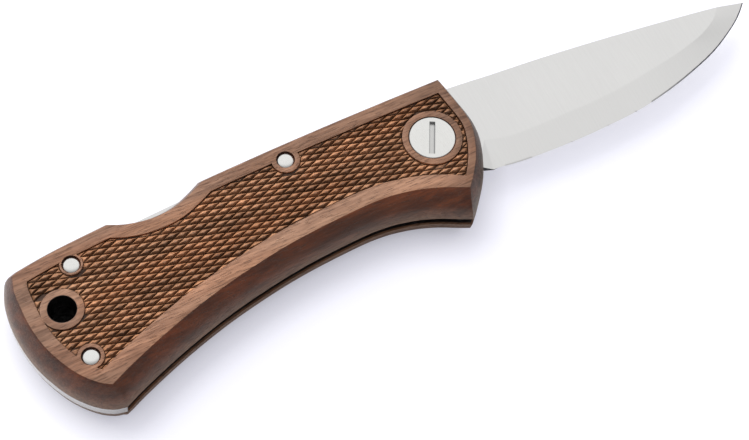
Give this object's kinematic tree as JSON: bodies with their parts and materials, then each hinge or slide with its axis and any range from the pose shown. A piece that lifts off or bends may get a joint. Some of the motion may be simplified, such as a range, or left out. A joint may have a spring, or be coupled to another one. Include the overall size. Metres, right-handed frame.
{
  "type": "lockback folding knife",
  "caption": "Lockback folding knife, blade open, with flared wooden scales, recessed grip panels, flush pivot head, domed rivets, steel back strip and a lanyard hole.",
  "frame": {"origin": "on the blade's pivot axis, in the plane that the left scale rests on, at the centre of the left pivot head's flat face", "axes": "+X along the spine towards the blade's tip, +Y from the belly to the spine, +Z through the thickness from the left side to the right side, along the pivot axis"},
  "size_m": [0.1926, 0.0418, 0.0164],
  "materials": {
    "walnut": "oiled walnut, satin",
    "blade_steel": "satin",
    "liner_steel": "brushed",
    "spring_steel": "tempered, plain",
    "pin_metal": "nickel silver, satin polished",
    "bronze": "plain bearing bronze"
  },
  "bodies": {
    "handle": {"right_scale": "walnut", "left_scale": "walnut", "right_liner": "liner_steel", "left_liner": "liner_steel", "right_washer": "bronze", "left_washer": "bronze", "back_spacer": "liner_steel", "lock_spring": "spring_steel", "pivot_barrel": "pin_metal", "pivot_screw": "pin_metal", "rocker_rivet_post": "pin_metal", "rocker_rivet_tube": "pin_metal", "upper_rivet_post": "pin_metal", "upper_rivet_tube": "pin_metal", "lower_rivet_post": "pin_metal", "lower_rivet_tube": "pin_metal"},
    "blade": {"blade": "blade_steel"},
    "lock_bar": {"lock_bar": "blade_steel"}
  },
  "joints": [
    {"name": "blade_fold", "type": "hinge", "parent": "handle", "child": "blade", "pos_m": [0, 0, 0.0082], "axis": [0, 0, 1], "range_deg": [-171.5, 0]},
    {"name": "lock_bar_rock", "type": "hinge", "parent": "handle", "child": "lock_bar", "pos_m": [-0.0326, 0.00945, 0.0082], "axis": [0, 0, 1], "range_deg": [-2, 0.8], "stiffness_Nm_per_rad": 5, "springref_deg": -8.59, "deforming": ["lock_spring"]}
  ]
}
